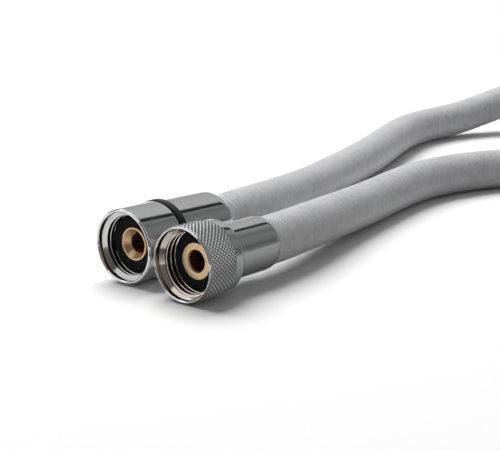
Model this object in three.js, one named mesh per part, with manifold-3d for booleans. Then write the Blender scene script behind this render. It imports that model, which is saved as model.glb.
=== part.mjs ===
// Shower hose, 1.5 m from mouth to mouth, lying on a table.
// End A has a diamond-knurled coupling nut on a plain crimped insert. End B has a smooth coupling nut on a
// swivel that lets the hose untwist. The two ends lie side by side, and the middle of the hose is coiled.
// Millimetres, +Z up. The origin is on the table, in the middle of the two ends. Both mouths face -Y.
import * as THREE from "three";
import { mergeVertices } from "three/addons/utils/BufferGeometryUtils.js";
import Module from "manifold-3d";

const wasm = await Module();
wasm.setup();

// Hose
const HOSE_RADIUS = 7.75;
const HOSE_SIDES = 12;
const TABLE_CLEARANCE = 0.05;
const COIL_CENTRE_X = 31;
const COIL_CENTRE_Y = 317;
const COIL_RADIUS = 80;
const COIL_LAYERS = 2;
const LAYER_RISE = 15.6;

// Clearances between neighbouring pieces
const GAP = 0.3;
const OVERSHOOT = 1;

// Waterway and the neck that the coupling nut turns on, the same at both ends
const WATERWAY_RADIUS = 3.0;
const NECK_RADIUS = 6.2;
const FLANGE_THICKNESS = 2.0;
const TAIL_ROOT_RADIUS = 4.75;
const BARB_RADIUS = 5.2;
const BARB_PITCH = 2.9;

// G 1/2 thread: the solids carry its bore at pitch diameter
const THREAD_MAJOR_RADIUS = 10.478;
const THREAD_MINOR_RADIUS = 9.316;
const THREAD_BORE_RADIUS = (THREAD_MAJOR_RADIUS + THREAD_MINOR_RADIUS) / 2;

// Both coupling nuts: their wall stands outside the thread, and the lip and the counterbore are cut into it
const NUT_WALL = 1.322;
const NUT_RADIUS = THREAD_MAJOR_RADIUS + NUT_WALL;
const LIP_RADIUS = THREAD_MAJOR_RADIUS + 0.4 * NUT_WALL;
const LIP_DEPTH = 0.3;
const COUNTERBORE_RADIUS = THREAD_MAJOR_RADIUS + 0.2 * NUT_WALL;
const COUNTERBORE_DEPTH = 2.0;
const RIM_CHAMFER = 0.45;

// Washers and flanges pass inside the thread
const THREAD_CLEARANCE = 0.216;
const WASHER_RADIUS = THREAD_MINOR_RADIUS - THREAD_CLEARANCE;
const WASHER_THICKNESS = 2.4;
const FLANGE_RADIUS = THREAD_MINOR_RADIUS - THREAD_CLEARANCE;

// End A: knurled nut, insert and ferrule
const A_MOUTH_Y = -22.85;
const A_FACE_DEPTH = 5.9;
const A_SPIGOT_RADIUS = 5.6;
const A_SPIGOT_PROUD = 0.3;
const A_NUT_LENGTH = 16.0;
const A_NUT_BACK_STEP = 1.2;
const A_SHOULDER_ROUND = 0.9;
const KNURL_COUNT = 52;
const KNURL_LENGTH = 1.45;
const KNURL_ROWS = 8;
const KNURL_START = 0.65;
const KNURL_DEPTH = 0.42;
const KNURL_RUN_OUT = 0.4;
const A_TAIL_LENGTH = 16.0;
const FERRULE_RADIUS = 8.65;
const FERRULE_LENGTH = 19.7;
const FERRULE_WALL = 0.6;
const FERRULE_ROUND = 3.0;

// End B: smooth nut, nozzle, slip ring, swivel body and sleeve
const END_SPACING = 27.6;
const B_SET_BACK = 3.1;
const B_FACE_DEPTH = 5.0;
const B_SPIGOT_RADIUS = 5.4;
const B_SPIGOT_PROUD = 0.15;
const B_RIM_WIDTH = 0.45;
const B_CONE_DEPTH = 2.0;
const B_NUT_LENGTH = 15.4;
const B_BACK_CHAMFER = 0.6;
const SLIP_RING_PROUD = 0.3;
const SLIP_RING_RADIUS = NUT_RADIUS + SLIP_RING_PROUD;
const SLIP_RING_WIDTH = 2.2;
const SLEEVE_STEP = 0.6;
const SLEEVE_TAPER = 0.3;
const SLEEVE_FRONT_RADIUS = NUT_RADIUS - SLEEVE_STEP;
const SLEEVE_REAR_RADIUS = SLEEVE_FRONT_RADIUS - SLEEVE_TAPER;
const SLEEVE_LENGTH = 24.5;
const SLEEVE_WALL = 1.0;
const SLEEVE_FRONT_WALL = 1.2;
const SLEEVE_REAR_WALL = 2.8;
const SLEEVE_ROUND = 3.4;
const SLEEVE_LIP_RADIUS = 8.7;
const BODY_LENGTH = 12.8;
const BODY_END_WALL = 1.5;
const B_TAIL_PAST_CRIMP = 1.7;
const CRIMP_WALL = 0.6;
const CLIP_SETBACK = 1.6;
const CLIP_THICKNESS = 0.8;
const CLIP_BITE = 0.9;
const O_RING_SECTION = 0.65;
const O_RING_SPACING = 3.4;
const O_RING_SETBACK = 4.9;

const FITTING_SEGMENTS = 36;
const INNER_SEGMENTS = 24;
const COIL_SEGMENTS = 42;
const COIL_ARC_STEPS = 3;
const O_RING_SIDES = 6;

// The hose's centreline from end A to the coil and from end B to the coil, laid by hand: level in the fitting,
// then down to the table, and on to the coil.
const RUN_A = [
  [13.95, -5, 11.8], [13.95, 5, 11.8], [13.95, 14, 11.8], [13.3, 23, 11.7], [11.2, 34.5, 11.3],
  [7.6, 49, 10.5], [3.2, 65.5, 9.4], [-0.8, 82, 8.5], [-4.8, 99.2, 7.9], [-8.4, 116.5, 7.8],
  [-11.1, 134, 7.8], [-10.5, 151.6, 7.8], [-6.3, 168.7, 7.8], [1.4, 184.7, 7.8], [12.3, 198.6, 7.8],
  [25.6, 210.3, 7.8], [39.4, 221.3, 7.8], [53.3, 232.4, 7.8], [60.6, 238.3, 7.8],
];
const RUN_B = [
  [-13.65, 13.25, 12.1], [-13.65, 19, 12.1], [-13.75, 24, 12.15], [-15, 33, 12.5], [-18.6, 45.5, 12.7],
  [-23.2, 59, 12.2], [-28.3, 74, 11], [-33.6, 90, 9.6], [-39, 107.5, 8.3], [-45, 127, 7.8],
  [-51.2, 147.5, 7.8], [-57.4, 168, 7.8], [-63.6, 185.5, 7.8], [-70, 202.5, 7.8], [-76.2, 219.5, 7.8],
  [-80.8, 236.5, 7.8], [-81.8, 254, 7.8], [-79.1, 271.7, 8.6], [-72.7, 288.4, 12.5], [-64.6, 304.5, 17.3],
  [-56.6, 320.6, 21.8], [-52.2, 329.5, 22.9],
];
const RUN_A_STEPS = 22;
const RUN_B_STEPS = 28;

const chrome = new THREE.MeshStandardMaterial({ color: 0xc9cbcd, roughness: 0.12, metalness: 1 });
const brass = new THREE.MeshStandardMaterial({ color: 0xd7aa69, roughness: 0.3, metalness: 1 });
const steel = new THREE.MeshStandardMaterial({ color: 0x9fa2a5, roughness: 0.35, metalness: 1 });
const rubber = new THREE.MeshStandardMaterial({ color: 0x17181a, roughness: 0.75, metalness: 0 });
const blackPlastic = new THREE.MeshStandardMaterial({ color: 0x101113, roughness: 0.45, metalness: 0 });
const braidedHose = new THREE.MeshStandardMaterial({ color: 0xcfd0d2, roughness: 0.5, metalness: 0 });

// A closed geometry as a solid.
function solidOf(geometry) {
  const bare = geometry.clone();
  bare.deleteAttribute("normal");
  bare.deleteAttribute("uv");
  const merged = mergeVertices(bare, 1e-4);
  return new wasm.Manifold(
    new wasm.Mesh({
      numProp: 3,
      vertProperties: new Float32Array(merged.attributes.position.array),
      triVerts: new Uint32Array(merged.index.array),
    }),
  );
}

// A solid as geometry again.
function geometryOf(solid) {
  const mesh = solid.getMesh();
  const geometry = new THREE.BufferGeometry();
  geometry.setAttribute("position", new THREE.BufferAttribute(mesh.vertProperties, 3));
  geometry.setIndex(new THREE.BufferAttribute(mesh.triVerts, 1));
  geometry.computeVertexNormals();
  return geometry;
}

// Turns a profile round the Y axis. The profile is a list of [depth, radius], where depth is the distance
// along +Y from the mouth: first the outside with the depth growing, then the inside back to the start.
function turned(profile, segments = FITTING_SEGMENTS) {
  const loop = [...profile, profile[0]];
  return new THREE.LatheGeometry(loop.map(([depth, radius]) => new THREE.Vector2(radius, depth)), segments);
}

// A plain ring between two depths.
function ring(front, back, innerRadius, outerRadius, segments = INNER_SEGMENTS) {
  return turned(
    [[front, innerRadius], [front, outerRadius], [back, outerRadius], [back, innerRadius]],
    segments,
  );
}

// A quarter ellipse from a side of radius fromRadius down to an edge of radius toRadius at depth toDepth.
function roundOver(fromDepth, fromRadius, toDepth, toRadius, steps) {
  return Array.from({ length: steps }, (_, i) => {
    const angle = ((i + 1) / steps) * (Math.PI / 2);
    return [
      fromDepth + (toDepth - fromDepth) * Math.sin(angle),
      toRadius + (fromRadius - toRadius) * Math.cos(angle),
    ];
  });
}

// The outside of a hose tail: barbs that slope down towards its end, so the hose slides on and not off.
function barbs(start, length) {
  const count = Math.floor(length / BARB_PITCH);
  const points = [];
  for (let i = 0; i < count; i++) {
    points.push([start + i * BARB_PITCH, TAIL_ROOT_RADIUS], [start + i * BARB_PITCH, BARB_RADIUS]);
  }
  points.push([start + count * BARB_PITCH, TAIL_ROOT_RADIUS]);
  return points;
}

// What is bored out of a coupling nut: lip, counterbore, thread bore up to the collar, and the neck's hole.
function nutBore(collarDepth, nutLength) {
  return solidOf(
    turned([
      [-OVERSHOOT, 0],
      [-OVERSHOOT, LIP_RADIUS],
      [0, LIP_RADIUS],
      [LIP_DEPTH, COUNTERBORE_RADIUS],
      [COUNTERBORE_DEPTH, COUNTERBORE_RADIUS],
      [COUNTERBORE_DEPTH + COUNTERBORE_RADIUS - THREAD_BORE_RADIUS, THREAD_BORE_RADIUS],
      [collarDepth, THREAD_BORE_RADIUS],
      [collarDepth, NECK_RADIUS + GAP],
      [nutLength + OVERSHOOT, NECK_RADIUS + GAP],
      [nutLength + OVERSHOOT, 0],
    ]),
  );
}

// The outside of the knurled nut: plain rim, diamond knurl and shoulder, closed by two flat ends.
// Peaks and pits alternate on a grid of half steps. Each cell is split along its two pits, so every peak
// is a pyramid that stands between crossing grooves. The knurl runs out towards the shoulder.
function knurledBlank() {
  const columns = 2 * KNURL_COUNT;
  const halfStep = KNURL_LENGTH / 2;
  const rimRadius = NUT_RADIUS - KNURL_DEPTH / 2;
  const knurlEnd = KNURL_START + 2 * KNURL_ROWS * halfStep;
  const plain = (depth, radius) => ({ depth, peak: radius, pit: radius });
  const rows = [plain(0, rimRadius - RIM_CHAMFER), plain(RIM_CHAMFER, rimRadius)];
  for (let i = 0; i <= 2 * KNURL_ROWS; i++) {
    const along = i / (2 * KNURL_ROWS);
    const peak = NUT_RADIUS - KNURL_RUN_OUT * Math.max(0, 3 * along - 2) ** 2;
    const edge = i === 0 || i === 2 * KNURL_ROWS;
    rows.push({ depth: KNURL_START + i * halfStep, peak: edge ? peak - KNURL_DEPTH : peak, pit: peak - KNURL_DEPTH });
  }
  const shoulderRadius = NUT_RADIUS - KNURL_RUN_OUT - KNURL_DEPTH / 2;
  rows.push(plain(knurlEnd + GAP, shoulderRadius));
  rows.push(plain(Math.max(A_NUT_LENGTH - A_SHOULDER_ROUND, knurlEnd + 2 * GAP), shoulderRadius));
  rows.push(plain(A_NUT_LENGTH, NUT_RADIUS - A_NUT_BACK_STEP));

  const points = [];
  rows.forEach((row, i) => {
    for (let j = 0; j < columns; j++) {
      const angle = (j / columns) * 2 * Math.PI;
      const radius = (i + j) % 2 === 0 ? row.peak : row.pit;
      points.push(radius * Math.sin(angle), row.depth, radius * Math.cos(angle));
    }
  });
  const front = points.length / 3;
  points.push(0, 0, 0, 0, A_NUT_LENGTH, 0);
  const last = (rows.length - 1) * columns;
  const faces = [];
  for (let j = 0; j < columns; j++) {
    const next = (j + 1) % columns;
    for (let i = 0; i < rows.length - 1; i++) {
      const [a, b] = [i * columns + j, i * columns + next];
      const [c, d] = [b + columns, a + columns];
      if ((i + j) % 2 === 0) faces.push(a, b, d, c, d, b);
      else faces.push(a, b, c, a, c, d);
    }
    faces.push(front, next, j, front + 1, last + j, last + next);
  }
  const geometry = new THREE.BufferGeometry();
  geometry.setAttribute("position", new THREE.Float32BufferAttribute(points, 3));
  geometry.setIndex(faces);
  return solidOf(geometry);
}

function smoothBlank() {
  return solidOf(
    turned([
      [0, 0],
      [0, NUT_RADIUS - RIM_CHAMFER],
      [RIM_CHAMFER, NUT_RADIUS],
      [B_NUT_LENGTH - B_BACK_CHAMFER, NUT_RADIUS],
      [B_NUT_LENGTH, NUT_RADIUS - B_BACK_CHAMFER],
      [B_NUT_LENGTH, 0],
    ]),
  );
}

// Depths inside end A, worked out from the face that meets the pipe
const A_WASHER_FRONT = A_FACE_DEPTH + A_SPIGOT_PROUD;
const A_FLANGE_FRONT = A_WASHER_FRONT + WASHER_THICKNESS + GAP;
const A_FLANGE_BACK = A_FLANGE_FRONT + FLANGE_THICKNESS;
const A_FERRULE_FRONT = A_NUT_LENGTH + GAP;
const A_TAIL_START = A_FERRULE_FRONT + FERRULE_WALL + GAP;

// Depths inside end B
const B_WASHER_FRONT = B_FACE_DEPTH + B_SPIGOT_PROUD;
const B_FLANGE_FRONT = B_WASHER_FRONT + WASHER_THICKNESS + GAP;
const B_FLANGE_BACK = B_FLANGE_FRONT + FLANGE_THICKNESS;
const SLIP_RING_FRONT = B_NUT_LENGTH + GAP;
const SLEEVE_FRONT = SLIP_RING_FRONT + SLIP_RING_WIDTH + GAP;
const SLEEVE_END = SLEEVE_FRONT + SLEEVE_LENGTH;
const BODY_FRONT = SLEEVE_FRONT + SLEEVE_FRONT_WALL + GAP;
const BODY_BACK = BODY_FRONT + BODY_LENGTH;
const BODY_RADIUS = SLEEVE_REAR_RADIUS - SLEEVE_WALL - GAP;
const NOZZLE_END = BODY_BACK - BODY_END_WALL - GAP;
const B_HOSE_START = BODY_BACK + GAP;
const SLEEVE_CAVITY_END = SLEEVE_END - SLEEVE_REAR_WALL;
const B_TAIL_LENGTH = SLEEVE_CAVITY_END + B_TAIL_PAST_CRIMP - B_HOSE_START;
const CLIP_FRONT = BODY_FRONT + CLIP_SETBACK;
const CLIP_GROOVE = [CLIP_FRONT - GAP, CLIP_FRONT + CLIP_THICKNESS + GAP];
const O_RING_GROOVE_RADIUS = NECK_RADIUS - 2 * O_RING_SECTION - GAP;
const O_RING_DEPTHS = [0, 1].map((i) => BODY_FRONT + O_RING_SETBACK + i * O_RING_SPACING);

function brassInsertA() {
  const tailEnd = A_TAIL_START + Math.floor(A_TAIL_LENGTH / BARB_PITCH) * BARB_PITCH;
  return turned(
    [
      [A_FACE_DEPTH, WATERWAY_RADIUS + GAP],
      [A_FACE_DEPTH, A_SPIGOT_RADIUS],
      [A_FLANGE_FRONT, A_SPIGOT_RADIUS],
      [A_FLANGE_FRONT, FLANGE_RADIUS],
      [A_FLANGE_BACK, FLANGE_RADIUS],
      [A_FLANGE_BACK, NECK_RADIUS],
      [A_TAIL_START - GAP, NECK_RADIUS],
      [A_TAIL_START - GAP, TAIL_ROOT_RADIUS],
      ...barbs(A_TAIL_START, A_TAIL_LENGTH),
      [tailEnd, WATERWAY_RADIUS],
      [A_FACE_DEPTH + GAP, WATERWAY_RADIUS],
    ],
    INNER_SEGMENTS,
  );
}

// The ferrule is a thin cup crimped over the hose. Its rear edge rolls in towards the hose.
function ferrule() {
  const end = A_FERRULE_FRONT + FERRULE_LENGTH;
  const inner = HOSE_RADIUS + GAP;
  return turned([
    [A_FERRULE_FRONT, NECK_RADIUS + GAP],
    [A_FERRULE_FRONT, FERRULE_RADIUS - RIM_CHAMFER],
    [A_FERRULE_FRONT + RIM_CHAMFER, FERRULE_RADIUS],
    [end - FERRULE_ROUND, FERRULE_RADIUS],
    ...roundOver(end - FERRULE_ROUND, FERRULE_RADIUS, end, inner + GAP / 3, 4),
    [end, inner],
    [A_FERRULE_FRONT + FERRULE_WALL, inner],
    [A_FERRULE_FRONT + FERRULE_WALL, NECK_RADIUS + GAP],
  ]);
}

// The swivel's inner half: countersunk mouth, flange for the nut, and a spindle with a clip groove and two
// O-ring grooves that turns in the swivel body.
function swivelNozzle() {
  const groove = ([front, back], radius) => [
    [front, NECK_RADIUS],
    [front, radius],
    [back, radius],
    [back, NECK_RADIUS],
  ];
  const half = O_RING_SECTION + GAP;
  return turned(
    [
      [B_FACE_DEPTH, B_SPIGOT_RADIUS - B_RIM_WIDTH],
      [B_FACE_DEPTH, B_SPIGOT_RADIUS],
      [B_FLANGE_FRONT, B_SPIGOT_RADIUS],
      [B_FLANGE_FRONT, FLANGE_RADIUS],
      [B_FLANGE_BACK, FLANGE_RADIUS],
      [B_FLANGE_BACK, NECK_RADIUS],
      ...groove(CLIP_GROOVE, NECK_RADIUS - CLIP_BITE),
      ...O_RING_DEPTHS.flatMap((depth) => groove([depth - half, depth + half], O_RING_GROOVE_RADIUS)),
      [NOZZLE_END, NECK_RADIUS],
      [NOZZLE_END, WATERWAY_RADIUS],
      [B_FACE_DEPTH + B_CONE_DEPTH, WATERWAY_RADIUS],
    ],
    INNER_SEGMENTS,
  );
}

// The swivel's outer half: a cup that the spindle turns in, and the barbed tail that holds the hose.
function swivelBody() {
  const tailEnd = B_HOSE_START + Math.floor(B_TAIL_LENGTH / BARB_PITCH) * BARB_PITCH;
  const bore = NECK_RADIUS + GAP;
  return turned(
    [
      [BODY_FRONT, bore],
      [BODY_FRONT, BODY_RADIUS],
      [BODY_BACK, BODY_RADIUS],
      [BODY_BACK, TAIL_ROOT_RADIUS],
      ...barbs(B_HOSE_START, B_TAIL_LENGTH),
      [tailEnd, WATERWAY_RADIUS],
      [BODY_BACK - BODY_END_WALL, WATERWAY_RADIUS],
      [BODY_BACK - BODY_END_WALL, bore],
      [CLIP_GROOVE[1], bore],
      [CLIP_GROOVE[1], bore + CLIP_BITE],
      [CLIP_GROOVE[0], bore + CLIP_BITE],
      [CLIP_GROOVE[0], bore],
    ],
    INNER_SEGMENTS,
  );
}

// The open spring clip that sits half in the spindle's groove and half in the body's.
function circlip() {
  const inner = NECK_RADIUS - CLIP_BITE + GAP;
  const outer = NECK_RADIUS + CLIP_BITE;
  const opening = 0.35;
  const shape = new THREE.Shape();
  shape.absarc(0, 0, outer, opening, 2 * Math.PI - opening, false);
  shape.absarc(0, 0, inner, 2 * Math.PI - opening, opening, true);
  const geometry = new THREE.ExtrudeGeometry(shape, {
    depth: CLIP_THICKNESS,
    bevelEnabled: false,
    curveSegments: INNER_SEGMENTS,
  });
  return geometry.rotateX(-Math.PI / 2).translate(0, CLIP_FRONT, 0);
}

function oRing(depth) {
  const centre = O_RING_GROOVE_RADIUS + GAP + O_RING_SECTION;
  const section = Array.from({ length: O_RING_SIDES }, (_, i) => {
    const angle = (i / O_RING_SIDES) * 2 * Math.PI;
    return [depth + O_RING_SECTION * Math.sin(angle), centre + O_RING_SECTION * Math.cos(angle)];
  });
  return turned(section, INNER_SEGMENTS);
}

// The chromed sleeve over the swivel body and the crimp. It tapers a little and ends in a rounded collar.
function swivelSleeve() {
  const roundStart = SLEEVE_END - SLEEVE_ROUND;
  const cavityRadius = BODY_RADIUS + GAP;
  return turned([
    [SLEEVE_FRONT, NECK_RADIUS + GAP],
    [SLEEVE_FRONT, SLEEVE_FRONT_RADIUS - RIM_CHAMFER],
    [SLEEVE_FRONT + RIM_CHAMFER, SLEEVE_FRONT_RADIUS],
    [roundStart, SLEEVE_REAR_RADIUS],
    ...roundOver(roundStart, SLEEVE_REAR_RADIUS, SLEEVE_END, SLEEVE_LIP_RADIUS, 5),
    [SLEEVE_END, HOSE_RADIUS + GAP],
    [SLEEVE_CAVITY_END, HOSE_RADIUS + GAP],
    [SLEEVE_CAVITY_END, cavityRadius],
    [SLEEVE_FRONT + SLEEVE_FRONT_WALL, cavityRadius],
    [SLEEVE_FRONT + SLEEVE_FRONT_WALL, NECK_RADIUS + GAP],
  ]);
}

// The coil's outer shape: as many layers as it has, with round edges, less than a turn of it on top.
// grow makes it larger all round, to cut what comes up to it.
function coil(grow = 0) {
  const low = HOSE_RADIUS + TABLE_CLEARANCE;
  const high = low + (COIL_LAYERS - 1) * LAYER_RISE;
  const radius = HOSE_RADIUS + grow;
  const section = [];
  for (let i = -COIL_ARC_STEPS; i < 3 * COIL_ARC_STEPS; i++) {
    const angle = (i / COIL_ARC_STEPS) * (Math.PI / 2);
    const side = (level) => section.push([level + radius * Math.sin(angle), COIL_RADIUS + radius * Math.cos(angle)]);
    side(i < 0 || i > 2 * COIL_ARC_STEPS ? low : high);
    if (i === 2 * COIL_ARC_STEPS) side(low);
  }
  return turned(section, COIL_SEGMENTS).rotateX(Math.PI / 2).translate(COIL_CENTRE_X, COIL_CENTRE_Y, 0);
}

// One run of the hose. It is hollow over the tail that it is pushed on, and it meets the coil.
function hoseRun(points, steps, tailX, tailY, tailZ, tailLength) {
  const path = new THREE.CatmullRomCurve3(points.map((p) => new THREE.Vector3(...p)));
  const shape = new THREE.Shape(
    Array.from({ length: HOSE_SIDES }, (_, i) => {
      const angle = (i / HOSE_SIDES) * 2 * Math.PI;
      return new THREE.Vector2(HOSE_RADIUS * Math.cos(angle), HOSE_RADIUS * Math.sin(angle));
    }),
  );
  const tube = solidOf(new THREE.ExtrudeGeometry(shape, { steps, extrudePath: path, bevelEnabled: false }));
  const tailSpace = turned(
    [[-OVERSHOOT, 0], [-OVERSHOOT, BARB_RADIUS + GAP], [tailLength + GAP, BARB_RADIUS + GAP], [tailLength + GAP, 0]],
    INNER_SEGMENTS,
  ).translate(tailX, tailY, tailZ);
  return geometryOf(tube.subtract(solidOf(tailSpace)).subtract(solidOf(coil(GAP))));
}

function part(name, geometry, material) {
  const mesh = new THREE.Mesh(geometry, material);
  mesh.name = name;
  return mesh;
}

// Both ends rest on the table: A on its nut, B on its slip ring.
const A_AXIS = new THREE.Vector3((END_SPACING + SLIP_RING_RADIUS - NUT_RADIUS) / 2, A_MOUTH_Y, NUT_RADIUS);
const B_AXIS = new THREE.Vector3(A_AXIS.x - END_SPACING, A_MOUTH_Y + B_SET_BACK, SLIP_RING_RADIUS);

function endA() {
  const group = new THREE.Group();
  group.position.copy(A_AXIS);
  const nut = knurledBlank().subtract(nutBore(A_FLANGE_BACK + GAP, A_NUT_LENGTH));
  const washerHole = A_SPIGOT_RADIUS + GAP;
  group.add(
    part("knurled_nut", geometryOf(nut), chrome),
    part("washer_a", ring(A_WASHER_FRONT, A_WASHER_FRONT + WASHER_THICKNESS, washerHole, WASHER_RADIUS), rubber),
    part("insert_a", brassInsertA(), brass),
    part("ferrule_a", ferrule(), chrome),
  );
  return group;
}

function endB() {
  const group = new THREE.Group();
  group.position.copy(B_AXIS);
  const nut = smoothBlank().subtract(nutBore(B_FLANGE_BACK + GAP, B_NUT_LENGTH));
  const washerHole = B_SPIGOT_RADIUS + GAP;
  const crimpInner = HOSE_RADIUS + GAP;
  const slipRingEnd = SLIP_RING_FRONT + SLIP_RING_WIDTH;
  group.add(
    part("smooth_nut", geometryOf(nut), chrome),
    part("washer_b", ring(B_WASHER_FRONT, B_WASHER_FRONT + WASHER_THICKNESS, washerHole, WASHER_RADIUS), rubber),
    part("swivel_nozzle", swivelNozzle(), brass),
    part("slip_ring", ring(SLIP_RING_FRONT, slipRingEnd, NECK_RADIUS + GAP, SLIP_RING_RADIUS, FITTING_SEGMENTS), blackPlastic),
    part("circlip", circlip(), steel),
    part("o_ring_front", oRing(O_RING_DEPTHS[0]), rubber),
    part("o_ring_rear", oRing(O_RING_DEPTHS[1]), rubber),
    part("swivel_body", swivelBody(), brass),
    part("crimp_ring", ring(B_HOSE_START + GAP, SLEEVE_CAVITY_END - GAP, crimpInner, crimpInner + CRIMP_WALL), steel),
    part("swivel_sleeve", swivelSleeve(), chrome),
  );
  return group;
}

function hose() {
  const group = new THREE.Group();
  const startA = A_AXIS.y + A_TAIL_START;
  const startB = B_AXIS.y + B_HOSE_START;
  group.add(
    part("hose_run_a", hoseRun(RUN_A, RUN_A_STEPS, A_AXIS.x, startA, A_AXIS.z, A_TAIL_LENGTH), braidedHose),
    part("hose_coil", coil(), braidedHose),
    part("hose_run_b", hoseRun(RUN_B, RUN_B_STEPS, B_AXIS.x, startB, B_AXIS.z, B_TAIL_LENGTH), braidedHose),
  );
  return group;
}

const showerHose = new THREE.Group();
showerHose.add(endA(), endB(), hose());

export default showerHose;
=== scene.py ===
"""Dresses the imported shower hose: fine knurl and threads, smooth turned parts, the braided hose and a pale table.

Metres, +Z up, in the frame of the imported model. Both mouths face -Y.
Surfaces are worked out as whole arrays: a radius over a grid of depth and angle, or a round section along a path.
"""

import math

import bpy
import numpy as np
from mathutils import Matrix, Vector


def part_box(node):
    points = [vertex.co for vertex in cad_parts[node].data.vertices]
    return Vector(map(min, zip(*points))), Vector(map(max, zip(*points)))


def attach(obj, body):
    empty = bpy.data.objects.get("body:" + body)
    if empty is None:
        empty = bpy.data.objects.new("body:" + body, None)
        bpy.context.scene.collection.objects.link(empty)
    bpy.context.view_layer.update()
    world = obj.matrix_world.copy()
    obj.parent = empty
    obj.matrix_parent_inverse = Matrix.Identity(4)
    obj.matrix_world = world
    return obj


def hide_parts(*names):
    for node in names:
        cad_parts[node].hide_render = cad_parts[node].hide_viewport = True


bl_info = {
    "name": "Shower Hose",
    "version": (1, 0, 0),
    "blender": (4, 5, 0),
    "location": "View3D > Sidebar > Shower Hose",
    "description": "Braided shower hose with a knurled nut, a smooth nut and a swivel",
    "category": "Object",
}

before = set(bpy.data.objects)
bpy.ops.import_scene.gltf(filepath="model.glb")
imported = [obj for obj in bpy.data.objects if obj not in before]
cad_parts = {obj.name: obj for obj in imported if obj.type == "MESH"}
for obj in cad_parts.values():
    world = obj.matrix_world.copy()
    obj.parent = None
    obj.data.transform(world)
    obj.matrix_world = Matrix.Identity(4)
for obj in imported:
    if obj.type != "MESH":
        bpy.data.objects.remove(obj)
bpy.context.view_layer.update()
MM = 0.001

# The hose's route in millimetres. Run B rises a little more behind its sleeve than the plain tube of the solids.
RUN_A = [
    (13.95, -5, 11.8), (13.95, 5, 11.8), (13.95, 14, 11.8), (13.3, 23, 11.7), (11.2, 34.5, 11.3),
    (7.6, 49, 10.5), (3.2, 65.5, 9.4), (-0.8, 82, 8.5), (-4.8, 99.2, 7.9), (-8.4, 116.5, 7.8),
    (-11.1, 134, 7.8), (-10.5, 151.6, 7.8), (-6.3, 168.7, 7.8), (1.4, 184.7, 7.8), (12.3, 198.6, 7.8),
    (25.6, 210.3, 7.8), (39.4, 221.3, 7.8), (53.3, 232.4, 7.8), (60.6, 238.3, 7.8),
]
RUN_B = [
    (-13.65, 13.25, 12.1), (-13.65, 18, 12.1), (-13.75, 23.5, 12.3), (-14.2, 28.5, 13.3), (-15.2, 34, 13.1),
    (-18.6, 45.5, 12.2), (-23.2, 59, 10.9), (-28.3, 74, 9.6), (-33.4, 90, 8.5), (-38.4, 107.5, 7.8), (-44, 127, 7.8),
    (-50.2, 147.5, 7.8), (-56.8, 168, 7.8), (-63.4, 185.5, 7.8), (-70, 202.5, 7.8), (-76.2, 219.5, 7.8),
    (-80.8, 236.5, 7.8), (-81.8, 254, 7.8), (-79.1, 271.7, 8.6), (-72.7, 288.4, 12.5), (-64.6, 304.5, 17.3),
    (-56.6, 320.6, 21.8), (-52.2, 329.5, 22.9),
]
COIL_CENTRE, COIL_RADIUS, COIL_LOW, COIL_HIGH = (31.0, 317.0), 80.0, 7.8, 23.4
# In degrees: where the coil starts, how far it turns, how far apart its points lie, and where it climbs.
COIL_FROM, COIL_SWEEP, COIL_STEP, COIL_RISE = -51.4, 564.9, 15.0, (285.0, 345.0)

# The hose in metres. Its bore is wider over the barbed tails at both ends.
HOSE_LENGTH, HOSE_DIAMETER, HOSE_BORE = 1.45, 0.0155, 0.0095
HOSE_STEP, HOSE_SIDES = 0.0024, 44
FLARE, FLARE_LENGTH, FLARE_FADE = 0.00075, 0.0165, 0.003
# Strands of the braid that cross a line along the hose, for each that crosses an equal line round it.
STRAND_SLOPE = 0.62

# Depths and radii in millimetres. Depth runs along +Y from each mouth.
LIP, COUNTERBORE, THREAD_CREST = 11.0, 10.74, 9.42
LIP_DEPTH, COUNTERBORE_DEPTH = 0.3, 1.8
THREAD_PITCH, THREAD_DEPTH = 1.814, 0.8
NECK_HOLE, NECK, FLANGE = 6.5, 6.2, 9.1

# Inside each nut: the depth at which the washer hides the thread, the front of the collar, the end of the lead-in
# cone, where the thread begins in turns, and the nut's length.
INSIDE_A = {"seat": 7.0, "collar_front": 11.2, "cone_end": 3.2, "start": 0.383, "length": 16.0}
INSIDE_B = {"seat": 5.3, "collar_front": 10.25, "cone_end": 2.7, "start": 0.155, "length": 15.4}

# The knurl: its first depth, the pitch and number of its rows, the points across a diamond, its radius, the fall of
# its last third and the radius of the plain shoulder behind it.
KNURL_START, KNURL_PITCH, KNURL_ROWS, KNURL_POINTS = 0.65, 1.45, 8, 8
KNURL_LENGTH = KNURL_PITCH * KNURL_ROWS
KNURL_RADIUS, KNURL_FALL, SHOULDER = 11.8, 0.4, 11.2

# The camera: place in metres, turn about X and Z in degrees, and lens in millimetres.
CAMERA_PLACE, CAMERA_TURN, CAMERA_LENS = (0.28437, -0.30797, 0.11936), (76.344, 40.56), 100.49

# The stage in metres. The table turns white between two distances from the middle of the object.
FLOOR_RADIUS, FLOOR_SIDES, FLOOR_DROP = 8, 96, 0.0001
OBJECT_MIDDLE, WHITE_FROM, WHITE_TO = (0.01, 0.2), 0.25, 0.5
# The share of its colour that the table gives back to the object, and the strength of the surround's light.
TABLE_BOUNCE, ROOM_LIGHT = 0.55, 0.2
# The lamp's side and place, and its turn about X and Y in degrees.
LAMP_SIDE, LAMP_PLACE, LAMP_TURN = 1.5, (-0.85, 0.38, 1.61), (-10, -27)
# The bent cards' height, and the Y at which most cards begin and end.
CARD_HEIGHT, CARD_NEAR, CARD_FAR = 0.6, -0.1, 2.4
# Past this angle from straight up a bent card turns down, at this many heights to the side.
CARD_TURN, CARD_REACH = 72, 3.08


def smoothstep(x):
    """0 up to x = 0, 1 from x = 1, and 3 x^2 - 2 x^3 between."""
    x = np.clip(x, 0, 1)
    return x * x * (3 - 2 * x)


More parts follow.
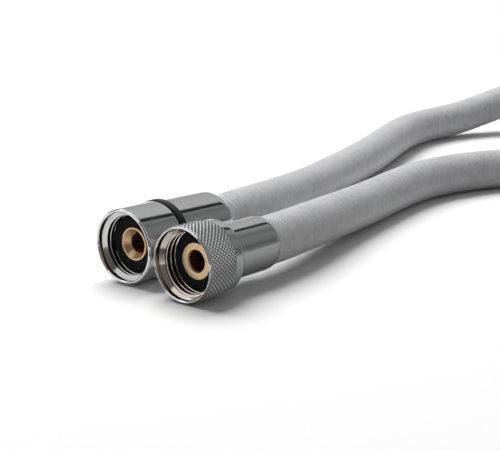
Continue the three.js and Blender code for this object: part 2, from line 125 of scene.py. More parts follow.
def eased(profile, radius, steps=4):
    """A polyline of (depth, radius) with each inner corner replaced by a quadratic curve.

    The curve starts and ends the given distance from the corner, or 0.45 of the shorter side if that is less.
    """
    p = np.array(profile, float)
    before, corner, after = p[:-2], p[1:-1], p[2:]
    to_before, to_after = before - corner, after - corner
    len_before = np.linalg.norm(to_before, axis=1, keepdims=True)
    len_after = np.linalg.norm(to_after, axis=1, keepdims=True)
    cut = np.minimum(radius, 0.45 * np.minimum(len_before, len_after))
    start, end = corner + to_before / len_before * cut, corner + to_after / len_after * cut
    t = np.linspace(0, 1, steps + 1)[None, :, None]
    curve = (1 - t) ** 2 * start[:, None] + 2 * t * (1 - t) * corner[:, None] + t**2 * end[:, None]
    return np.vstack([p[:1], curve.reshape(-1, 2), p[-1:]])


def closed_grid(name, points, uv=None, sharp=34):
    """A mesh from points[row, column], whose rows and columns both close on themselves.

    Each cell is one quad. The faces are turned round if the signed volume, the sum of a . (b x c) + a . (c x d) over
    the cells' corners, comes out negative. Edges sharper than the given angle in degrees stay sharp.
    """
    rows, columns = points.shape[:2]
    i, j = np.meshgrid(np.arange(rows), np.arange(columns), indexing="ij")
    i_next, j_next = (i + 1) % rows, (j + 1) % columns
    faces = np.stack([i * columns + j, i * columns + j_next, i_next * columns + j_next, i_next * columns + j], -1)
    faces = faces.reshape(-1, 4)
    flat = points.reshape(-1, 3)
    a, b, c, d = (flat[faces[:, k]] for k in range(4))
    volume = np.einsum("ij,ij->i", a, np.cross(b, c)).sum() + np.einsum("ij,ij->i", a, np.cross(c, d)).sum()
    corners = np.stack([i, i, i + 1, i + 1], -1).reshape(-1, 4), np.stack([j, j + 1, j + 1, j], -1).reshape(-1, 4)
    if volume < 0:
        faces, corners = faces[:, ::-1], (corners[0][:, ::-1], corners[1][:, ::-1])
    mesh = bpy.data.meshes.new(name)
    mesh.vertices.add(len(flat))
    mesh.vertices.foreach_set("co", np.ascontiguousarray(flat, np.float32).ravel())
    mesh.loops.add(faces.size)
    mesh.loops.foreach_set("vertex_index", np.ascontiguousarray(faces, np.int32).ravel())
    mesh.polygons.add(len(faces))
    mesh.polygons.foreach_set("loop_start", np.arange(0, faces.size, 4, dtype=np.int32))
    mesh.update(calc_edges=True)
    mesh.polygons.foreach_set("use_smooth", np.ones(len(faces), bool))
    mesh.set_sharp_from_angle(angle=math.radians(sharp))
    if uv is not None:
        along, around = uv
        layer = mesh.uv_layers.new(name="hose_uv")
        pairs = np.stack([around[corners[1].ravel()], along[corners[0].ravel()]], -1)
        layer.data.foreach_set("uv", np.ascontiguousarray(pairs, np.float32).ravel())
    obj = bpy.data.objects.new(name, mesh)
    bpy.context.scene.collection.objects.link(obj)
    return obj


def axis_of(node):
    """The axis of a turned CAD node and the depth of its front: x, y and z in metres."""
    low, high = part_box(node)
    return (low.x + high.x) / 2, low.y, (low.z + high.z) / 2


def round_axis(depth, radius, axis):
    """points = (x + radius * sin(angle), y + depth, z + radius * cos(angle)), for radius[row, column] in mm."""
    angle = np.linspace(0, 2 * np.pi, radius.shape[1], endpoint=False)[None]
    x, y, z = axis
    return np.stack(
        [x + MM * radius * np.sin(angle), y + MM * depth + 0 * radius, z + MM * radius * np.cos(angle)], -1
    )


def repeated(profile, segments):
    """A profile of (depth, radius) as two arrays, with each radius repeated at every angle."""
    return profile[:, :1], np.repeat(profile[:, 1:], segments, axis=1)


def turned(name, profile, axis, segments, ease):
    """A closed profile turned round the axis: the same radius at every angle of a row."""
    loop = np.array(profile, float)
    eased_loop = eased(np.vstack([loop[-1:], loop, loop[:1]]), ease)[1:-1]
    return closed_grid(name, round_axis(*repeated(eased_loop, segments), axis))


def depth_and_radius(obj, axis):
    """Each vertex's depth behind the mouth, y - y of the mouth, and its distance from the axis, in millimetres."""
    points = np.zeros(len(obj.data.vertices) * 3)
    obj.data.vertices.foreach_get("co", points)
    points = (points.reshape(-1, 3) - axis) / MM
    return points[:, 1], np.hypot(points[:, 0], points[:, 2])


def write_attribute(obj, name, values):
    """One number a vertex, under this name."""
    attribute = obj.data.attributes.new(name, "FLOAT", "POINT")
    attribute.data.foreach_set("value", np.asarray(values, np.float32))


def thread_rows(seat, collar_front, cone_end, start, segments):
    """The bore from the collar forwards: a lead-in cone, and flat thread crests between V grooves.

    radius = the larger of the cone's, which falls evenly from counterbore to crest, and crest + depth of thread *
    smoothstep(1 - |turn - 0.5| / 0.25), where turn is the fraction of (depth / pitch - angle / full turn + start).
    The grooves stop half a millimetre behind the washer's front, where nothing shows them.
    """
    depth = np.concatenate(
        [[collar_front, seat + 0.6], np.arange(seat + 0.45, COUNTERBORE_DEPTH, -0.05)])[:, None]
    angle = np.linspace(0, 1, segments, endpoint=False)[None]
    turn = (depth / THREAD_PITCH - angle + start) % 1
    groove = smoothstep(1 - np.abs(turn - 0.5) / 0.25) * (depth < seat + 0.5)
    fallen = np.clip((depth - COUNTERBORE_DEPTH) / (cone_end - COUNTERBORE_DEPTH), 0, 1)
    cone = COUNTERBORE - (COUNTERBORE - THREAD_CREST) * fallen
    return depth, np.maximum(THREAD_CREST + THREAD_DEPTH * groove, cone)


def nut_surface(name, axis, outside, segments, seat, collar_front, cone_end, start, length):
    """One closed grid: lip, outside, back, neck hole, collar and thread, in that order.

    outside is (depth[row, 1], radius[row, column]), and the plain stretches repeat their radius at every angle.
    The attribute "inside" is 0 on the outside, and smoothstep((depth - 0.2) / 1.5) in the bore.
    """
    lip = eased([(COUNTERBORE_DEPTH, COUNTERBORE), (LIP_DEPTH, COUNTERBORE), (0, LIP), (0, LIP + 0.1)], 0.1)
    back = eased([(length, 10.0), (length, NECK_HOLE), (collar_front, NECK_HOLE), (collar_front, THREAD_CREST)], 0.12)
    thread = thread_rows(seat, collar_front - 0.3, cone_end, start, segments)
    stretches = [repeated(lip, segments), outside, repeated(back, segments), thread]
    depth = np.vstack([s[0] for s in stretches])
    radius = np.vstack([s[1] for s in stretches])
    nut = closed_grid(name, round_axis(depth, radius, axis))
    bored = np.concatenate([np.full(len(s[0]), float(k in (0, 3))) for k, s in enumerate(stretches)])
    write_attribute(nut, "inside", np.repeat(bored * smoothstep((depth[:, 0] - 0.2) / 1.5), segments))
    return nut


# Materials


def value_of(tree, operation, a, b=0.0, clamp=False):
    """A Math node fed by sockets or numbers, and its output."""
    node = tree.nodes.new("ShaderNodeMath")
    node.operation, node.use_clamp = operation, clamp
    for socket, source in zip(node.inputs, (a, b)):
        if isinstance(source, (int, float)):
            socket.default_value = source
        else:
            tree.links.new(source, socket)
    return node.outputs[0]


def spread(tree, value, low, high):
    """A 0 to 1 value mapped to low to high."""
    node = tree.nodes.new("ShaderNodeMapRange")
    node.inputs["To Min"].default_value, node.inputs["To Max"].default_value = low, high
    tree.links.new(value, node.inputs["Value"])
    return node.outputs[0]


def blend_colours(tree, factor, low, high):
    """Two colours, or a socket for either, mixed by a 0 to 1 factor."""
    node = tree.nodes.new("ShaderNodeMix")
    node.data_type = "RGBA"
    tree.links.new(factor, node.inputs[0])
    for socket, source in ((node.inputs[6], low), (node.inputs[7], high)):
        if isinstance(source, tuple):
            socket.default_value = (*source, 1)
        else:
            tree.links.new(source, socket)
    return node.outputs[2]


def noise(tree, vector, scale, detail):
    """Soft blotches of 0 to 1 over the given coordinates."""
    node = tree.nodes.new("ShaderNodeTexNoise")
    node.inputs["Scale"].default_value, node.inputs["Detail"].default_value = scale, detail
    tree.links.new(vector, node.inputs["Vector"])
    return node.outputs["Fac"]


def attribute(tree, name):
    """The outputs of a node that reads the named attribute."""
    node = tree.nodes.new("ShaderNodeAttribute")
    node.attribute_name = name
    return node.outputs


def empty_tree(owner):
    """The node tree of a new material or world, with nothing in it."""
    owner.use_nodes = True
    owner.node_tree.nodes.clear()
    return owner.node_tree


def new_material(name, metallic, roughness):
    """A material with only its shader, and its tree, shader and Object coordinates."""
    material = bpy.data.materials.new(name)
    tree = empty_tree(material)
    output = tree.nodes.new("ShaderNodeOutputMaterial")
    shader = tree.nodes.new("ShaderNodeBsdfPrincipled")
    shader.inputs["Metallic"].default_value, shader.inputs["Roughness"].default_value = metallic, roughness
    tree.links.new(shader.outputs[0], output.inputs["Surface"])
    place = tree.nodes.new("ShaderNodeTexCoord").outputs["Object"]
    return material, tree, shader, place


def bump(tree, shader, height, strength, distance):
    """A relief felt by the shader: a height of 0 to 1 times the distance in metres, at the given strength."""
    node = tree.nodes.new("ShaderNodeBump")
    node.inputs["Strength"].default_value, node.inputs["Distance"].default_value = strength, distance
    tree.links.new(height, node.inputs["Height"])
    tree.links.new(node.outputs[0], shader.inputs["Normal"])


def handling_group():
    """The group for marks of use: soft smears and fine specks, for every hard finish."""
    name = "Marks of use"
    if name in bpy.data.node_groups:
        return bpy.data.node_groups[name]
    tree = bpy.data.node_groups.new(name, "ShaderNodeTree")
    tree.interface.new_socket("Vector", in_out="INPUT", socket_type="NodeSocketVector")
    tree.interface.new_socket("Smear Scale", in_out="INPUT", socket_type="NodeSocketFloat").default_value = 160
    tree.interface.new_socket("Speck Scale", in_out="INPUT", socket_type="NodeSocketFloat").default_value = 2600
    tree.interface.new_socket("Smears", in_out="OUTPUT", socket_type="NodeSocketFloat")
    tree.interface.new_socket("Specks", in_out="OUTPUT", socket_type="NodeSocketFloat")
    start, end = tree.nodes.new("NodeGroupInput"), tree.nodes.new("NodeGroupOutput")
    for output, scale, detail in ((0, 1, 4.0), (1, 2, 2.0)):
        node = tree.nodes.new("ShaderNodeTexNoise")
        node.inputs["Detail"].default_value = detail
        tree.links.new(start.outputs[0], node.inputs["Vector"])
        tree.links.new(start.outputs[scale], node.inputs["Scale"])
        tree.links.new(node.outputs["Fac"], end.inputs[output])
    return tree


def marks(tree, place, smear_scale, speck_scale):
    """The group placed in a material, and its two outputs."""
    node = tree.nodes.new("ShaderNodeGroup")
    node.node_tree = handling_group()
    tree.links.new(place, node.inputs[0])
    node.inputs[1].default_value, node.inputs[2].default_value = smear_scale, speck_scale
    return node.outputs[0], node.outputs[1]


def bore_tint(tree, colour, inner):
    """The colour, turning to the inner one where the attribute "inside" rises to 1."""
    return blend_colours(tree, attribute(tree, "inside")["Fac"], colour, inner)


def scaled(colour, factors):
    """The colour with each of its three parts times its factor."""
    return tuple(part * factor for part, factor in zip(colour, factors))


def chrome_material(colour):
    """Bright plating: faint smears in the polish, and specks too fine to see one by one."""
    material, tree, shader, place = new_material("Polished chrome", 1.0, 0.1)
    smears, specks = marks(tree, place, smear_scale=180, speck_scale=3200)
    plated = blend_colours(tree, smears, scaled(colour, (0.93, 0.93, 0.93)), colour)
    thin = scaled(colour, (0.82, 0.81, 0.79))
    tree.links.new(bore_tint(tree, plated, thin), shader.inputs["Base Color"])
    tree.links.new(spread(tree, smears, low=0.05, high=0.16), shader.inputs["Roughness"])
    bump(tree, shader, specks, strength=0.04, distance=0.0002)
    return material


def knurled_material(colour):
    """Plating over the knurl: bright worn tips, and painted shade low in the pits.

    raised = knurl_height + 0.3 * smears - 0.15, where the part after knurl_height is never below 0.
    """
    material, tree, shader, place = new_material("Knurled chrome", 1.0, 0.15)
    smears, specks = marks(tree, place, smear_scale=220, speck_scale=3600)
    worn = value_of(tree, "MULTIPLY_ADD", smears, 0.3, clamp=True)
    worn.node.inputs[2].default_value = -0.15
    raised = value_of(tree, "ADD", attribute(tree, "knurl_height")["Fac"], worn, clamp=True)
    # Painted shade: low in the knurl's pits the colour falls to a fifth.
    plated = blend_colours(tree, raised, scaled(colour, (0.2, 0.2, 0.2)), colour)
    thin = scaled(colour, (1.0, 0.9, 0.8))
    tree.links.new(bore_tint(tree, plated, thin), shader.inputs["Base Color"])
    tree.links.new(spread(tree, raised, low=0.42, high=0.12), shader.inputs["Roughness"])
    bump(tree, shader, specks, strength=0.06, distance=0.0002)
    return material


def brass_material(colour):
    """Turned brass: fine rings left by the tool round the axis, a slight tarnish and a paler bore."""
    material, tree, shader, place = new_material("Turned brass", 1.0, 0.3)
    smears, specks = marks(tree, place, smear_scale=260, speck_scale=4200)
    turned_brass = blend_colours(tree, smears, scaled(colour, (0.8, 0.76, 0.7)), colour)
    paler = scaled(colour, (1.15, 1.2, 1.6))
    tree.links.new(bore_tint(tree, turned_brass, paler), shader.inputs["Base Color"])
    tree.links.new(spread(tree, smears, low=0.2, high=0.36), shader.inputs["Roughness"])
    rings = tree.nodes.new("ShaderNodeTexWave")
    rings.wave_type, rings.rings_direction = "RINGS", "Y"
    rings.inputs["Scale"].default_value = 900
    rings.inputs["Distortion"].default_value = 1.5
    centred = tree.nodes.new("ShaderNodeMapping")
    tree.links.new(place, centred.inputs["Vector"])
    tree.links.new(centred.outputs[0], rings.inputs["Vector"])
    bump(tree, shader, value_of(tree, "ADD", rings.outputs["Fac"], specks), strength=0.12, distance=0.0001)
    return material, centred


def plain_material(name, colour, metallic, roughness, smear_scale, speck_scale, grain, specular):
    """A hard or rubbery finish: the marks of use in its colour and roughness, and a fine grain."""
    material, tree, shader, place = new_material(name, metallic, roughness)
    shader.inputs["Specular IOR Level"].default_value = specular
    smears, specks = marks(tree, place, smear_scale, speck_scale)
    dusty = tuple(min(1, c * 1.5 + 0.004) for c in colour)
    tree.links.new(blend_colours(tree, smears, colour, dusty), shader.inputs["Base Color"])
    tree.links.new(spread(tree, smears, roughness * 0.8, min(1, roughness * 1.25)), shader.inputs["Roughness"])
    bump(tree, shader, specks, strength=grain, distance=0.0003)
    return material


def hose_material(colour, strands, strands_per_metre):
    """Textile braid under a clear skin.

    a and b count the strands of the two crossing families. A strand's height is |sin(pi a)| or |sin(pi b)|, and
    which family lies on top changes with the parity of floor(a) + floor(b). Faint ribs run round the hose at a
    slight slant, and the whole is blotched.
    """
    material, tree, shader, place = new_material("Braided hose", 0.0, 0.5)
    shader.inputs["Coat Weight"].default_value = 0.3
    shader.inputs["Coat Roughness"].default_value = 0.28
    shader.inputs["Coat IOR"].default_value = 1.45
    uv = tree.nodes.new("ShaderNodeUVMap")
    uv.uv_map = "hose_uv"
    split = tree.nodes.new("ShaderNodeSeparateXYZ")
    tree.links.new(uv.outputs[0], split.inputs[0])
    around, along = split.outputs[0], split.outputs[1]
    round_count = value_of(tree, "MULTIPLY", around, float(strands))
    along_count = value_of(tree, "MULTIPLY", along, float(strands_per_metre))
    a = value_of(tree, "ADD", round_count, along_count)
    b = value_of(tree, "SUBTRACT", round_count, along_count)
    ridge_a = value_of(tree, "ABSOLUTE", value_of(tree, "SINE", value_of(tree, "MULTIPLY", a, math.pi)))
    ridge_b = value_of(tree, "ABSOLUTE", value_of(tree, "SINE", value_of(tree, "MULTIPLY", b, math.pi)))
    cells = value_of(tree, "ADD", value_of(tree, "FLOOR", a), value_of(tree, "FLOOR", b))
    over = value_of(tree, "FLOORED_MODULO", cells, 2.0)
    height = tree.nodes.new("ShaderNodeMix")
    tree.links.new(over, height.inputs[0])
    tree.links.new(ridge_a, height.inputs[2])
    tree.links.new(ridge_b, height.inputs[3])
    weave = height.outputs[0]
    stretched = tree.nodes.new("ShaderNodeCombineXYZ")
    tree.links.new(value_of(tree, "MULTIPLY", around, 17.0), stretched.inputs[0])
    slant = value_of(tree, "MULTIPLY", around, 14.0)
    slanted = value_of(tree, "ADD", value_of(tree, "MULTIPLY", along, 680.0), slant)
    tree.links.new(slanted, stretched.inputs[1])
    ribs = noise(tree, stretched.outputs[0], scale=1.0, detail=2.0)
    cloud = noise(tree, place, scale=150, detail=3.0)
    woven = value_of(tree, "MULTIPLY", spread(tree, weave, 0.88, 1.0), spread(tree, ribs, 0.62, 1.36))
    tone = value_of(tree, "MULTIPLY", woven, spread(tree, cloud, 0.74, 1.28))
    tree.links.new(blend_colours(tree, tone, (0.0, 0.0, 0.0), colour), shader.inputs["Base Color"])
    tree.links.new(spread(tree, cloud, low=0.44, high=0.6), shader.inputs["Roughness"])
    bump(tree, shader, weave, strength=0.5, distance=0.00025)
    return material


def paint(obj, material):
    """This material on the object, in place of those it came with."""
    obj.data.materials.clear()
    obj.data.materials.append(material)


def chrome():
    """The plating of the smooth nut, the ferrule and the sleeve, made once."""
    colour = tuple(bpy.context.scene.shower_hose.chrome_colour)
    return bpy.data.materials.get("Polished chrome") or chrome_material(colour)


def brass(node):
    """Brass whose turning rings are centred on the node's axis."""
    material, centred = brass_material(tuple(bpy.context.scene.shower_hose.brass_colour))
    x, y, z = axis_of(node)
    centred.inputs["Location"].default_value = (-x, 0, -z)
    return material


# Each plain finish: colour, metallic, roughness, scales of smears and specks, strength of the grain, specular level.
PLAIN_FINISHES = {
    "Black rubber": ((0.007, 0.0072, 0.0075), 0.0, 0.7, 200, 2400, 0.25, 0.12),
    "Black plastic": ((0.008, 0.008, 0.0085), 0.0, 0.4, 150, 2000, 0.12, 0.3),
    "Spring steel": ((0.42, 0.42, 0.43), 1.0, 0.32, 240, 3000, 0.1, 0.5),
}


def plain_finish(name):
    """The named plain finish, made once."""
    return bpy.data.materials.get(name) or plain_material(name, *PLAIN_FINISHES[name])


def finish(obj, body, slot, material, *nodes):
    """The piece rides on its CAD body, stands for its nodes and takes its material. The slot is not used."""
    paint(obj, material)
    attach(obj, body)
    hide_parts(*nodes)


class ShowerHoseSettings(bpy.types.PropertyGroup):
    """Sizes and colours that a user would change."""

    knurl_count: bpy.props.IntProperty(
        name="Knurl Count", description="Diamonds round the knurled nut", default=52, min=12, max=120)
    knurl_depth: bpy.props.FloatProperty(
        name="Knurl Depth", description="Depth of the knurl's grooves", default=0.0006, unit="LENGTH")
    braid_strands: bpy.props.IntProperty(
        name="Braid Strands", description="Strands of the braid counted round the hose", default=46, min=8, max=200)
    hose_diameter: bpy.props.FloatProperty(
        name="Hose Diameter", description="Outside diameter of the hose", default=HOSE_DIAMETER, unit="LENGTH")
    hose_bore: bpy.props.FloatProperty(
        name="Hose Bore", description="Inside diameter of the hose", default=HOSE_BORE, unit="LENGTH")
    hose_colour: bpy.props.FloatVectorProperty(
        name="Hose Colour", description="Colour of the braid", default=(0.62, 0.622, 0.637), subtype="COLOR",
        min=0, max=1)
    chrome_colour: bpy.props.FloatVectorProperty(
        name="Chrome Colour", description="Colour of the plating", default=(0.64, 0.645, 0.65), subtype="COLOR",
        min=0, max=1)
    brass_colour: bpy.props.FloatVectorProperty(
        name="Brass Colour", description="Colour of the brass", default=(0.64, 0.45, 0.265), subtype="COLOR",
        min=0, max=1)
    floor_colour: bpy.props.FloatVectorProperty(
        name="Floor Colour", description="Colour of the table", default=(0.98, 0.98, 0.98), subtype="COLOR",
        min=0, max=1)
    key_power: bpy.props.FloatProperty(
        name="Key Light", description="Power of the large lamp overhead", default=42.0, unit="POWER")


class SHOWERHOSE_OT_camera(bpy.types.Operator):
    """Places the camera: a long lens, in front to the right, a little above the table"""

    bl_idname = "showerhose.camera"
    bl_label = "Camera"

    def execute(self, context):
        data = bpy.data.cameras.new("Camera")
        data.sensor_width, data.lens = 36.0, CAMERA_LENS
        data.clip_start, data.clip_end = 0.02, 50
        camera = bpy.data.objects.new("Camera", data)
        camera.location = CAMERA_PLACE
        camera.rotation_euler = (math.radians(CAMERA_TURN[0]), 0, math.radians(CAMERA_TURN[1]))
        context.scene.collection.objects.link(camera)
        context.scene.camera = camera
        return {"FINISHED"}


def hose_points():
    """The route from end A round the coil to end B, as control points in metres.

    A coil point is centre + radius * (cos(angle), sin(angle)), and its height is smoothstep between two layers.
    """
    u = np.append(np.arange(0, COIL_SWEEP, COIL_STEP), COIL_SWEEP)
    angle = np.radians(COIL_FROM + u)
    rise = COIL_LOW + (COIL_HIGH - COIL_LOW) * smoothstep((u - COIL_RISE[0]) / (COIL_RISE[1] - COIL_RISE[0]))
    coil = np.stack(
        [COIL_CENTRE[0] + COIL_RADIUS * np.cos(angle), COIL_CENTRE[1] + COIL_RADIUS * np.sin(angle), rise], -1
    )
    return MM * np.vstack([np.array(RUN_A), coil, np.array(RUN_B)[::-1]])


def curve_through(points, per_span=16):
    """A smooth curve through the points, with the spans timed by the square root of their chord.

    Each span blends the straight lines through four points in a row, first by twos, then by threes, then all.
    """
    p = np.vstack([2 * points[0] - points[1], points, 2 * points[-1] - points[-2]])
    knots = np.concatenate([[0], np.cumsum(np.sqrt(np.linalg.norm(np.diff(p, axis=0), axis=1)))])
    t0, t1, t2, t3 = (knots[k:len(knots) - 3 + k][:, None, None] for k in range(4))
    p0, p1, p2, p3 = (p[k:len(p) - 3 + k][:, None] for k in range(4))
    t = t1 + (t2 - t1) * np.linspace(0, 1, per_span, endpoint=False)[None, :, None]
    a1 = (t1 - t) / (t1 - t0) * p0 + (t - t0) / (t1 - t0) * p1
    a2 = (t2 - t) / (t2 - t1) * p1 + (t - t1) / (t2 - t1) * p2
    a3 = (t3 - t) / (t3 - t2) * p2 + (t - t2) / (t3 - t2) * p3
    b1 = (t2 - t) / (t2 - t0) * a1 + (t - t0) / (t2 - t0) * a2
    b2 = (t3 - t) / (t3 - t1) * a2 + (t - t1) / (t3 - t1) * a3
    curve = (t2 - t) / (t2 - t1) * b1 + (t - t1) / (t2 - t1) * b2
    return np.vstack([curve.reshape(-1, 3), points[-1:]])


def evenly(curve, step):
    """The curve at equal distances along itself, and those distances."""
    run = np.concatenate([[0], np.cumsum(np.linalg.norm(np.diff(curve, axis=0), axis=1))])
    at = np.linspace(0, run[-1], int(round(run[-1] / step)) + 1)
    return np.stack([np.interp(at, run, curve[:, k]) for k in range(3)], -1), at


class SHOWERHOSE_OT_hose(bpy.types.Operator):
    """Lays the braided hose from one end round its coil to the other"""

    bl_idname = "showerhose.hose"
    bl_label = "Hose"

    def execute(self, context):
        settings = context.scene.shower_hose
        path, at = evenly(curve_through(hose_points()), HOSE_STEP)
        # Each point becomes the weighted mean of itself and its neighbours, and the hose lies on the table or above.
        reach = 5
        weights = np.hanning(2 * reach + 3)[1:-1]
        weights /= weights.sum()
        path[reach:-reach] = np.stack([np.convolve(path[:, k], weights, "valid") for k in range(3)], -1)
        path[:, 2] = np.maximum(path[:, 2], settings.hose_diameter / 2)
        tangent = np.gradient(path, axis=0)
        tangent /= np.linalg.norm(tangent, axis=1, keepdims=True)
        side = np.cross(tangent, (0.0, 0.0, 1.0))
        side /= np.linalg.norm(side, axis=1, keepdims=True)
        up = np.cross(side, tangent)
        # A point is path + radius * (up * cos(angle) + side * sin(angle)), outside all along and then back inside.
        angle = np.linspace(0, 2 * np.pi, HOSE_SIDES, endpoint=False)
        spokes = up[:, None] * np.cos(angle)[None, :, None] + side[:, None] * np.sin(angle)[None, :, None]
        from_end = np.minimum(at, at[-1] - at)
        bore = settings.hose_bore / 2 + FLARE * (1 - smoothstep((from_end - FLARE_LENGTH) / FLARE_FADE))
        outer = path[:, None] + spokes * settings.hose_diameter / 2
        inside = (path[:, None] + spokes * bore[:, None, None])[::-1]
        along = np.concatenate([at, at[::-1], at[:1]])
        hose = closed_grid("braided_hose", np.concatenate([outer, inside]),
                           uv=(along, np.linspace(0, 1, HOSE_SIDES + 1)), sharp=60)
        pitch = math.pi * settings.hose_diameter / settings.braid_strands
        material = hose_material(tuple(settings.hose_colour), settings.braid_strands, STRAND_SLOPE / pitch)
        finish(hose, "hose", "braided_hose", material, "hose_run_a", "hose_coil", "hose_run_b")
        x, y, z = axis_of("ferrule_a")
        return {"FINISHED"}


def knurl_crest(share):
    """The radius of the knurl's tips: radius - fall * (3 * share - 2)^2 in the last third of its length."""
    return KNURL_RADIUS - KNURL_FALL * np.maximum(0, 3 * share - 2) ** 2


def knurl_rows(count, columns, cut):
    """The knurl's (depth, radius): crest - cut * (1 - height), run out to the shoulder over its last 0.6 mm.

    height is the mean of two crossing triangle waves of count * turns +- (depth - start) / pitch, scaled up so that
    the tips come out flat as if worn, and it grows from 0 over the first 0.35 mm.
    """
    steps = KNURL_POINTS * KNURL_ROWS
    depth = (KNURL_START + KNURL_LENGTH * np.arange(steps + 1) / steps)[:, None]
    turns = np.linspace(0, 1, columns, endpoint=False)[None]
    rows = (depth - KNURL_START) / KNURL_PITCH
    ramp = [2 * np.abs(wave - np.round(wave)) for wave in (count * turns + rows, count * turns - rows)]
    height = np.minimum((ramp[0] + ramp[1]) / 1.84, 1) * smoothstep((depth - KNURL_START) / 0.35)
    knurl = knurl_crest((depth - KNURL_START) / KNURL_LENGTH) - cut * (1 - height)
    return depth, SHOULDER + (knurl - SHOULDER) * smoothstep((KNURL_START + KNURL_LENGTH - depth) / 0.6)


class SHOWERHOSE_OT_knurled_nut(bpy.types.Operator):
    """Cuts the knurled nut: diamond knurl, plain rim and shoulder, and the thread in its mouth"""

    bl_idname = "showerhose.knurled_nut"
    bl_label = "Knurled Nut"

    def execute(self, context):
        settings = context.scene.shower_hose
        columns, cut = KNURL_POINTS * settings.knurl_count, settings.knurl_depth / MM
        rim = eased([(0, 11.12), (0.32, 11.5), (0.5, 11.5), (0.62, 11.3)], 0.1)
        shoulder = eased([(12.35, SHOULDER), (15.1, SHOULDER), (16.0, 10.6), (16.0, 10.3)], 0.45)
        knurl = knurl_rows(settings.knurl_count, columns, cut)
        stretches = repeated(rim, columns), knurl, repeated(shoulder, columns)
        outside = tuple(np.vstack(parts) for parts in zip(*stretches))
        axis = axis_of("knurled_nut")
        nut = nut_surface("knurled_nut_dressed", axis, outside, columns, **INSIDE_A)
        # knurl_height: 0 in the pits and 1 on the tips, by the share of the cut that is left, and 1 on all else. The
        # material paints shade in the pits by it.
        depth, radius = depth_and_radius(nut, axis)
        share = (depth - KNURL_START) / KNURL_LENGTH
        left = 1 - (knurl_crest(share) - radius) / cut
        in_knurl = (share > 0) & (share < 0.98) & (radius > 10.9)
        write_attribute(nut, "knurl_height", np.where(in_knurl, smoothstep((left - 0.05) / 0.75), 1))
        finish(nut, "nut_a", "chrome", knurled_material(tuple(settings.chrome_colour)), "knurled_nut")
        return {"FINISHED"}


class SHOWERHOSE_OT_smooth_nut(bpy.types.Operator):
    """Turns the smooth nut with its bright front edge and the thread in its mouth"""

    bl_idname = "showerhose.smooth_nut"
    bl_label = "Smooth Nut"

    def execute(self, context):
        columns = 192
        side = eased([(0, 11.35), (0.45, 11.8), (14.8, 11.8), (15.4, 11.2), (15.4, 10.6)], 0.2)
        outside = repeated(side, columns)
        nut = nut_surface("smooth_nut_dressed", axis_of("smooth_nut"), outside, columns, **INSIDE_B)
        finish(nut, "nut_b", "chrome", chrome(), "smooth_nut")
        return {"FINISHED"}


def mark_bore(obj, axis, start, bore):
    """The attribute "inside": smoothstep(depth - start) on all that lies nearer to the axis than the bore."""
    depth, radius = depth_and_radius(obj, axis)
    write_attribute(obj, "inside", smoothstep(depth - start) * (radius < bore))


class SHOWERHOSE_OT_brass(bpy.types.Operator):
    """Turns the brass insert of end A and the countersunk brass nozzle of end B"""

    bl_idname = "showerhose.brass"
    bl_label = "Brass Inserts"

    def execute(self, context):
        axis = axis_of("knurled_nut")
        barbs = [p for k in range(5) for p in ((17.2 + 2.9 * k, 4.75), (17.2 + 2.9 * k, 5.2))]
        insert = turned("insert_a_dressed", [
            (6.35, 3.55), (6.35, 5.6), (8.9, 5.6), (8.9, FLANGE), (10.9, FLANGE), (10.9, NECK), (16.9, NECK),
            (16.9, 4.75), *barbs, (31.7, 4.75), (31.7, 3.0), (12.0, 3.0), (9.0, 3.15), (8.0, 3.15), (6.95, 3.15),
        ], axis, 96, 0.1)
        mark_bore(insert, axis, start=7.0, bore=3.3)
        finish(insert, "hose", "brass", brass("knurled_nut"), "insert_a")
        axis = axis_of("smooth_nut")
        grooves = [p for front, back, floor in ((21.0, 22.4, 5.3), (23.65, 25.55, 4.6), (27.05, 28.95, 4.6))
                   for p in ((front, NECK), (front, floor), (back, floor), (back, NECK))]
        nozzle = turned("swivel_nozzle_dressed", [
            (4.9, 4.7), (4.9, 5.2), (5.1, 5.35), (7.85, 5.35), (7.85, FLANGE), (9.85, FLANGE), (9.85, NECK),
            *grooves, (30.7, NECK), (30.7, 3.0), (11.0, 3.0), (9.0, 2.95), (8.0, 2.95), (6.8, 2.95),
        ], axis, 96, 0.1)
        mark_bore(nozzle, axis, start=6.7, bore=3.1)
        finish(nozzle, "spindle_b", "brass", brass("smooth_nut"), "swivel_nozzle")
        return {"FINISHED"}


class SHOWERHOSE_OT_washers(bpy.types.Operator):
    """Lays a black rubber washer against the flange inside each nut"""

    bl_idname = "showerhose.washers"
    bl_label = "Washers"

    def execute(self, context):
        for node, hole, front, back, nut, body in (
            ("washer_a", 5.75, 6.75, 8.6, "knurled_nut", "hose"),
            ("washer_b", 5.4, 5.15, 7.55, "smooth_nut", "spindle_b"),
        ):
            ring = turned(node + "_dressed", [
                (front, hole), (front, FLANGE - 0.5), (front + 0.4, FLANGE), (back, FLANGE), (back, hole),
            ], axis_of(nut), 96, 0.25)
            finish(ring, body, "rubber", plain_finish("Black rubber"), node)
        return {"FINISHED"}


def quarter(from_depth, from_radius, to_depth, to_radius, steps=12):
    """A quarter ellipse from a side to an end: depth by the sine and radius by the cosine of an angle."""
    angle = np.linspace(0, np.pi / 2, steps)
    return list(zip(from_depth + (to_depth - from_depth) * np.sin(angle),
                    to_radius + (from_radius - to_radius) * np.cos(angle)))


